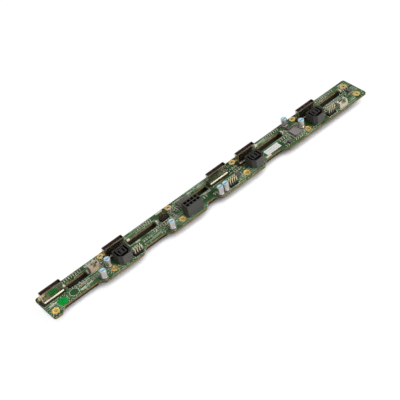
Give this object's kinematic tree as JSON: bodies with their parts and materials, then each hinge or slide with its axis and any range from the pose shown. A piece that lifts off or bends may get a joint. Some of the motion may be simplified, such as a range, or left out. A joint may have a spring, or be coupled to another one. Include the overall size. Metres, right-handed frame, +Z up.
{
  "type": "drive backplane board",
  "caption": "Long narrow drive backplane circuit board with drive receptacles below and cable sockets, power header, capacitors and pin headers above.",
  "frame": {"origin": "middle of the rest plane, at the mouth side of the drive receptacles under the board", "axes": "+X along the board from its notched left end, +Y across it from the notched edge, +Z up out of the component side"},
  "size_m": [0.396, 0.0334, 0.0225],
  "materials": {
    "board_laminate": "green solder mask on glass-epoxy laminate",
    "black_plastic": "moulded glass-filled plastic",
    "shell_metal": "bright plated folded sheet",
    "pin_metal": "gold-flashed square pins",
    "can_metal": "drawn aluminium can",
    "beige_plastic": "moulded beige plastic",
    "cream_plastic": "moulded cream plastic",
    "chip_epoxy": "moulded epoxy",
    "indicator_lens": "milky lens",
    "sticker_film": "printed green film",
    "label_paper": "white coated paper"
  },
  "bodies": {
    "root": {"circuit_board": "board_laminate", "drive_receptacle_lower_1": "black_plastic", "drive_receptacle_lower_2": "black_plastic", "drive_receptacle_lower_3": "black_plastic", "drive_receptacle_lower_4": "black_plastic", "drive_receptacle_lower_5": "black_plastic", "drive_receptacle_upper_1": "black_plastic", "drive_receptacle_upper_2": "black_plastic", "drive_receptacle_upper_3": "black_plastic", "drive_receptacle_upper_4": "black_plastic", "drive_receptacle_upper_5": "black_plastic", "storage_socket_1": "black_plastic", "storage_socket_2": "black_plastic", "storage_socket_3": "black_plastic", "cable_socket_shell_1": "shell_metal", "cable_socket_base_1": "black_plastic", "cable_socket_shell_2": "shell_metal", "cable_socket_base_2": "black_plastic", "cable_socket_shell_3": "shell_metal", "cable_socket_base_3": "black_plastic", "cable_socket_shell_4": "shell_metal", "cable_socket_base_4": "black_plastic", "cable_socket_shell_5": "shell_metal", "cable_socket_base_5": "black_plastic", "power_header": "black_plastic", "power_header_pins": "pin_metal", "capacitor_1": "can_metal", "capacitor_2": "can_metal", "capacitor_3": "can_metal", "capacitor_4": "can_metal", "capacitor_5": "can_metal", "capacitor_6": "can_metal", "capacitor_7": "can_metal", "pin_header_1": "black_plastic", "pin_header_pins_1": "pin_metal", "pin_header_2": "black_plastic", "pin_header_pins_2": "pin_metal", "pin_header_3": "black_plastic", "pin_header_pins_3": "pin_metal", "pin_header_4": "black_plastic", "pin_header_pins_4": "pin_metal", "wafer_connector_1": "beige_plastic", "wafer_connector_pins_1": "pin_metal", "wafer_connector_2": "cream_plastic", "wafer_connector_pins_2": "pin_metal", "switch_chip": "chip_epoxy", "control_chip": "chip_epoxy", "small_chips": "chip_epoxy", "slot_indicators": "indicator_lens", "round_sticker": "sticker_film", "paper_label": "label_paper"}
  },
  "joints": []
}
